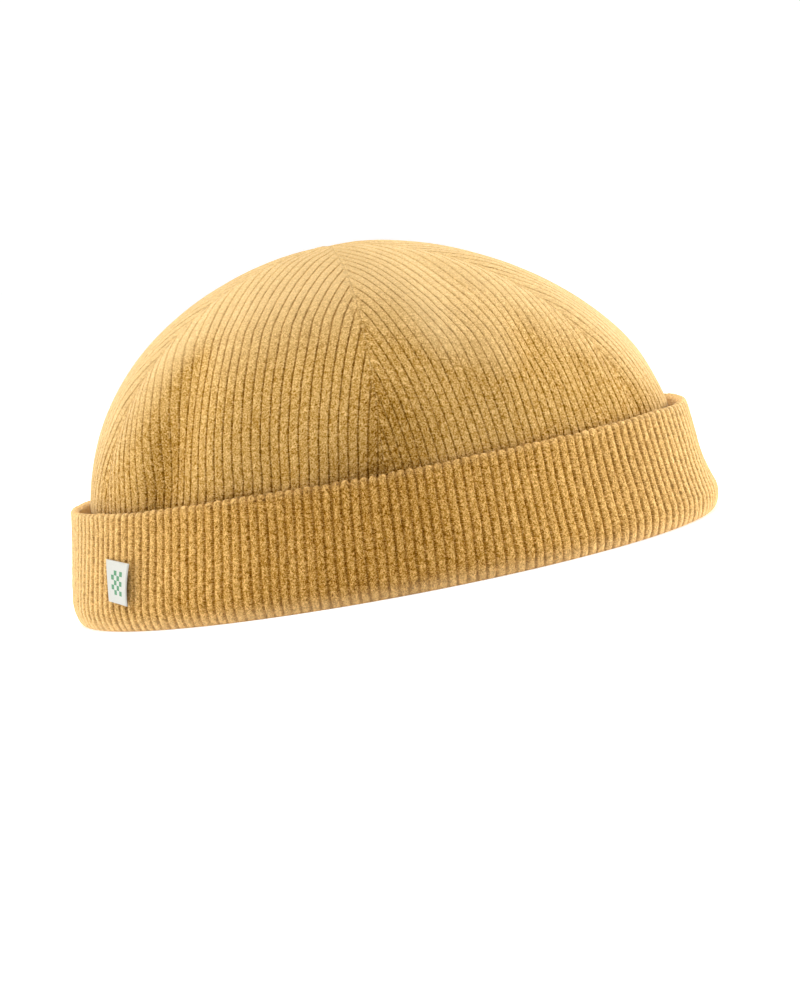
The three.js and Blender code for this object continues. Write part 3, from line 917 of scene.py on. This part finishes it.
def woven_tag():
    """White satin weave with a small green chequer woven into its middle."""
    material, graph, shade = new_material("woven_tag")
    cloth = graph.attribute("cloth", "Vector")
    across, up, _ = graph.split(cloth)
    middle = (LABEL_WIDTH / 2, LABEL_HEIGHT / 2)
    inside = [graph.calc("LESS_THAN", graph.calc("ABSOLUTE", graph.calc("SUBTRACT", place, centre)), half)
              for place, centre, half in zip((across, up), middle, CHEQUER_HALF)]
    corner = (middle[0] - CHEQUER_HALF[0], middle[1] - CHEQUER_HALF[1], -0.3)
    from_corner = graph.add("ShaderNodeVectorMath", {0: cloth, 1: corner}, operation="SUBTRACT")
    chequer = graph.add("ShaderNodeTexChecker", {"Vector": from_corner, "Scale": 1 / CHEQUER_CELL}, "Fac")
    weave = {"Vector": cloth, "Scale": 1.3, "Distortion": 0.6, "Detail": 1.0}
    threads = graph.add("ShaderNodeTexWave", weave, "Fac", bands_direction="Y")
    white = graph.mix(graph.noise(cloth, 3.0), TAG_DARK_WHITE, TAG_WHITE)
    shade({
        "Base Color": graph.mix(graph.product(*inside, chequer), white, TAG_GREEN),
        "Roughness": 0.5,
        "Specular IOR Level": 0.2,
        "Sheen Weight": 0.05,
        "Normal": graph.bump(threads, 0.35, 0.00012),
    })
    return material


def studio_floor():
    """A plain pale floor that glows a little, as a lit white sweep does."""
    material, graph, shade = new_material("studio_floor")
    place = graph.add("ShaderNodeTexCoord", output="Object")
    shade({
        "Base Color": graph.mix(graph.noise(place, 3.0), (0.84, 0.84, 0.84, 1), (0.88, 0.88, 0.88, 1)),
        "Roughness": 0.9,
        "Emission Color": (1, 1, 1, 1),
        "Emission Strength": 0.42,
    })
    return material


# Studio, in metres

FLOOR_REACH = 6.0
LIGHT_AIM = (0, 0, 0.05)

# Name, place, width and power in watts.
LIGHTS = [
    ("left_light", (-1.0, 0.18, 0.04), 0.5, 10.0),
    ("right_light", (1.0, 0.14, 0.0), 0.5, 20.0),
    ("top_light", (-0.12, -0.26, 1.0), 0.7, 11.2),
]

# The surround's brightness goes from the first to the second of each pair, from front to back.
SURROUND_SIDES = (-0.6, 0.32)
SURROUND_STRENGTHS = (0.06, 1.07)


def floor():
    mesh = bpy.data.meshes.new("floor")
    reach = FLOOR_REACH
    corners = [(-reach, -reach, 0), (reach, -reach, 0), (reach, reach, 0), (-reach, reach, 0)]
    mesh.from_pydata(corners, [], [(0, 1, 2, 3)])
    mesh.materials.append(studio_floor())
    thing = bpy.data.objects.new("floor", mesh)
    bpy.context.scene.collection.objects.link(thing)


def surround():
    """White all round, dim in front of the hat and bright behind it."""
    world = bpy.data.worlds.new("surround")
    world.use_nodes = True
    graph = Graph(world.node_tree)
    direction = graph.add("ShaderNodeTexCoord", output="Generated")
    strength = graph.ramp(graph.split(direction)[1], *SURROUND_SIDES, *SURROUND_STRENGTHS)
    background = world.node_tree.nodes["Background"]
    graph.put(background.inputs["Strength"], strength)
    graph.put(background.inputs["Color"], (1, 1, 1, 1))
    bpy.context.scene.world = world


def soft_light(name, place, size, power):
    data = bpy.data.lights.new(name, "AREA")
    data.shape = "DISK"
    data.size = size
    data.energy = power
    lamp = bpy.data.objects.new(name, data)
    lamp.location = place
    lamp.rotation_mode = "QUATERNION"
    lamp.rotation_quaternion = (Vector(LIGHT_AIM) - Vector(place)).to_track_quat("-Z", "Y")
    bpy.context.scene.collection.objects.link(lamp)


# The hat

place_camera()
crown_cloth = corduroy("crown_corduroy", CROWN_SHADES_DIMMED, valley_width=0.28,
                       front_valley_darkness=0.88, side_valley_darkness=0.88, turned=0.75)
cuff_cloth = corduroy("cuff_corduroy", OCHRE, valley_width=0.54,
                      front_valley_darkness=0.76, side_valley_darkness=1.0, turned=0.95)

for number in range(len(GORE_SHARES)):
    piece, flat, area = gore(number)
    piece.data.materials.append(crown_cloth)
    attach(piece, "root")
    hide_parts(f"crown_panel_{number + 1}")

band = cuff()
band.data.materials.append(cuff_cloth)
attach(band, "root")
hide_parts("cuff")

tag = label()
tag.data.materials.append(woven_tag())
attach(tag, "root")
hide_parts("label")

floor()
surround()
for light in LIGHTS:
    soft_light(*light)
bpy.context.scene.view_settings.view_transform = "Standard"
